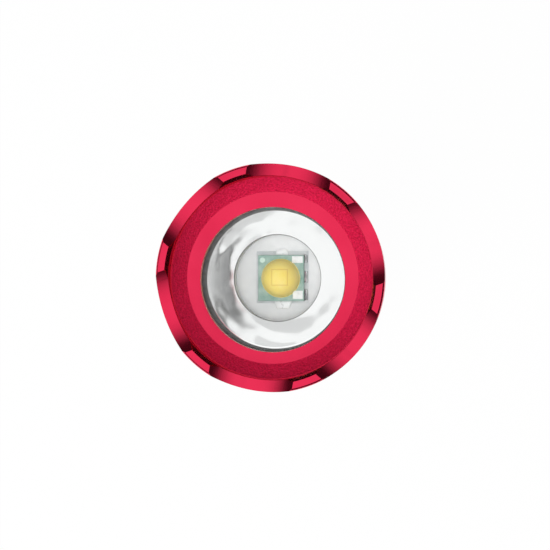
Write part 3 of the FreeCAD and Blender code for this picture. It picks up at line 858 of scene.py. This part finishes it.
# Each fillet has its width and depth, and how far up it lies from the tile's middle.
fillets = {
    "fillet_upper": (0.3, 0.62, 1.47),
    "fillet_middle": (0.34, 0.9, 0.1),
    "fillet_lower": (0.32, 0.85, -1.25),
}
for name, (width, depth, deep) in fillets.items():
    x = TILE_EDGE_X + width / 2 - FILLET_BITE
    fillet = plate(name, width, depth, FILLET_HEIGHT, x, LED_Y + deep, BOARD_TOP, edge=FILLET_EDGE)
    for vertex in fillet.data.vertices:
        high = vertex.co.z > (BOARD_TOP + FILLET_HEIGHT / 2) * MM
        if high and vertex.co.x > (TILE_EDGE_X + FILLET_EDGE) * MM:
            vertex.co.x -= FILLET_LEAN * MM
    finish_piece(fillet, fillet_solder, "solder")

# %% [markdown]
# The dome is half a ball of clear silicone. A ball is cut at its equator, and its open edge is drawn down
# and out into a thin flange, as the mould leaves it. A turned outline would do as well, but a ball has its
# pole closed from the start.

# %% Dome
DOME_RADIUS = (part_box("led_dome")[1].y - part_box("led_dome")[0].y) / 2 / MM
DOME_X = LED_X - 0.02
DOME_Y = LED_Y
DOME_CUT = LED_TOP + 0.01
FLANGE = 0.06
FLANGE_DROP = 0.02

deselect()
bpy.ops.mesh.primitive_uv_sphere_add(
    segments=96, ring_count=48, radius=DOME_RADIUS * MM, location=(DOME_X * MM, DOME_Y * MM, LED_TOP * MM)
)
dome = bpy.context.object
dome.name = "yellow_dome"
settle(dome)
bpy.ops.object.mode_set(mode="EDIT")
bpy.ops.mesh.select_all(action="SELECT")
bpy.ops.mesh.bisect(plane_co=(0, 0, DOME_CUT * MM), plane_no=(0, 0, 1), clear_inner=True, use_fill=False)
bpy.ops.mesh.select_all(action="DESELECT")
bpy.ops.mesh.select_non_manifold()
bpy.ops.mesh.extrude_region_move(TRANSFORM_OT_translate={"value": (0, 0, -FLANGE_DROP * MM)})
flare = 1 + FLANGE / DOME_RADIUS
bpy.ops.transform.resize(value=(flare, flare, 1), center_override=(DOME_X * MM, DOME_Y * MM, 0))
bpy.ops.mesh.edge_face_add()
bpy.ops.object.mode_set(mode="OBJECT")
outward(dome)
smooth(dome, 40)
print("dome", round(2 * DOME_RADIUS, 2), "mm across")

# %% [markdown]
# The dome looks yellow from any side, because phosphor fills its foot, and the die under it shows as a
# square line of a deeper yellow. Glass over a real die would need many more light paths, so the line is
# drawn in the colour. The larger of a point's two distances from the die's middle grows in squares, and a
# narrow range of it makes the line.

# %% Phosphor and die
DIE_SIDE = 1.17
DIE_LINE = 0.06
DIE_Y = LED_Y + 0.06
YELLOW = (1.0, 0.76, 0.17)
YELLOW_PALE = (1.0, 0.8, 0.26)
DIE_TINT = (0.66, 0.36, 0.05)
SCATTER = (0.4 * MM, 0.3 * MM, 0.05 * MM)

dome_yellow, tree = new_material("dome_yellow")
cloud = grain(tree, 0.9)
warm = mixed(tree, between(tree, cloud, 0, 1), YELLOW, YELLOW_PALE)
place = add(tree, "Mapping", {"Vector": on_piece(tree), "Location": (-LED_X * MM, -DIE_Y * MM, 0)})
axes = add(tree, "SeparateXYZ", {0: place.outputs[0]})
across, deep = (maths(tree, "ABSOLUTE", axes.outputs[axis]) for axis in ("X", "Y"))
square = maths(tree, "MAXIMUM", across, deep)
line_from, line_to = (DIE_SIDE / 2 - DIE_LINE) * MM, (DIE_SIDE / 2 + DIE_LINE) * MM
line = maths(tree, "PINGPONG", ranged(tree, square, line_from, line_to, 0, 1), 0.5)
show(tree, add(tree, "BsdfPrincipled", {
    "Base Color": mixed(tree, line, warm, DIE_TINT),
    "Roughness": 0.4,
    "IOR": 1.41,
    "Subsurface Weight": 0.25,
    "Subsurface Radius": SCATTER,
    "Normal": bump(tree, cloud, 0.01),
}))
finish_piece(dome, dome_yellow, "led_silicone", "led_dome")

# %% [markdown]
# ## Glass, plastics, metals and boards
#
# The lens is a flat pane, clear with a faint shine, and its ground edge is dull grey. A glass shader would
# bend the light and darken the well, so the pane is transparent, with a mirror blended in by its angle.

# %% Lens glass
LENS_FLAT_RADIUS = outer_radius("lens") - 0.06
PANE = (0.992, 0.996, 0.995)
GROUND = (0.1, 0.1, 0.1)
GROUND_PALE = (0.2, 0.2, 0.2)

lens_glass, tree = new_material("lens_glass")
pane = add(tree, "BsdfTransparent", {"Color": PANE})
shine = add(tree, "BsdfGlossy", {"Roughness": 0.02})
facing = add(tree, "Fresnel", {"IOR": 1.3}).outputs[0]
ground = add(tree, "BsdfDiffuse", {"Color": mixed(tree, grain(tree, 5.0), GROUND, GROUND_PALE)})
at_edge = maths(tree, "GREATER_THAN", from_axis(tree), LENS_FLAT_RADIUS * MM)
show(tree, blended(tree, at_edge, blended(tree, facing, pane, shine), ground))
print("lens clear to", round(LENS_FLAT_RADIUS, 2), "mm from its middle")

# %% [markdown]
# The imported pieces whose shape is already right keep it, and take a finish through their material slots.
# Few of them show, but each is finished as the real one is, for anyone who takes the light apart. The
# metals come first, from one table, because only tint, grain and shine tell them apart.

# %% Metals
STEEL = ((0.72, 0.72, 0.73), (0.6, 0.6, 0.62))
BRASS = ((0.83, 0.62, 0.28), (0.72, 0.5, 0.2))
# Each row has two tints, the grains to the millimetre, the roughness from and to, and the grain's depth.
metals = {
    "contact_brass": (*BRASS, 1.5, (0.2, 0.32), 0.004),
    "cell_steel": (*STEEL, 1.0, (0.25, 0.4), 0.004),
    "pill_metal": ((0.78, 0.78, 0.79), (0.7, 0.7, 0.71), 2.0, (0.3, 0.45), 0.006),
    "solder": ((0.8, 0.8, 0.82), (0.68, 0.68, 0.7), 2.0, (0.2, 0.4), 0.02),
}
finishes = {name: speckled(name, *row, metallic=1.0) for name, row in metals.items()}
finishes["ring_steel"] = speckled(
    "ring_steel", *STEEL, 1.5, (0.16, 0.28), 0.004, metallic=1.0, stretch=(1, 1, 5)
)
finishes["anodised_red"] = barrel_red
finishes["clear_glass"] = lens_glass
print(len(metals) + 1, "metals")

# %% [markdown]
# The other materials aren't metallic. Their grain is mostly finer and their surface duller, and only the
# film round the cell has a gloss coat.

# %% Plastics, rubber and boards
plain = {
    "black_rubber": ((0.02, 0.02, 0.021), (0.04, 0.04, 0.042), 4.0, (0.5, 0.7), 0.01),
    "cell_filling": ((0.05, 0.05, 0.05), (0.09, 0.09, 0.09), 6.0, (0.8, 0.95), 0.03),
    "cell_gasket": ((0.8, 0.8, 0.76), (0.88, 0.88, 0.85), 3.0, (0.5, 0.65), 0.01),
    "white_plastic": ((0.74, 0.74, 0.75), (0.8, 0.8, 0.81), 2.5, (0.4, 0.6), 0.01),
    "board_white": ((0.8, 0.8, 0.81), (0.86, 0.86, 0.87), 2.0, (0.35, 0.5), 0.008),
    "board_green": ((0.02, 0.16, 0.06), (0.03, 0.22, 0.09), 1.2, (0.3, 0.45), 0.008),
    "led_chip": ((0.95, 0.7, 0.12), (0.9, 0.62, 0.1), 4.0, (0.5, 0.6), 0.01),
    "chip_black": ((0.02, 0.02, 0.02), (0.04, 0.04, 0.04), 5.0, (0.5, 0.7), 0.01),
    "ferrite": ((0.08, 0.075, 0.075), (0.13, 0.12, 0.12), 5.0, (0.6, 0.8), 0.02),
    "tan_ceramic": ((0.55, 0.42, 0.26), (0.62, 0.5, 0.33), 4.0, (0.4, 0.6), 0.01),
    "wire_red": ((0.6, 0.02, 0.02), (0.5, 0.015, 0.015), 3.0, (0.3, 0.45), 0.006),
    "wire_black": ((0.02, 0.02, 0.02), (0.035, 0.035, 0.035), 3.0, (0.3, 0.45), 0.006),
}
finishes |= {name: speckled(name, *row) for name, row in plain.items()}
finishes["cell_film"] = speckled(
    "cell_film", (0.3, 0.32, 0.35), (0.36, 0.38, 0.41), 0.6, (0.2, 0.3), 0.004, coat=0.4
)
print(len(plain) + 1, "plain finishes")

# %% [markdown]
# Each row of the frame's record names a node and its material slot. The pieces that were rebuilt above are
# passed over, and all the others are dressed from the table.

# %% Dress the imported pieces
rebuilt = {"crown_bezel", "reflector", "led_substrate", "led_dome"}
for row in frame["record"]["subparts"]:
    node = row["node"]
    if node in rebuilt:
        continue
    data = nodes[node].data
    data.materials.clear()
    data.materials.append(finishes[row["material_slot"]])
print("finishes on", len(nodes) - len(rebuilt), "packed pieces")

# %% [markdown]
# ## The bounds
#
# One box is measured round all the shown pieces, leaving out the floor and the cards.

# %% Measure the box
low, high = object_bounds()
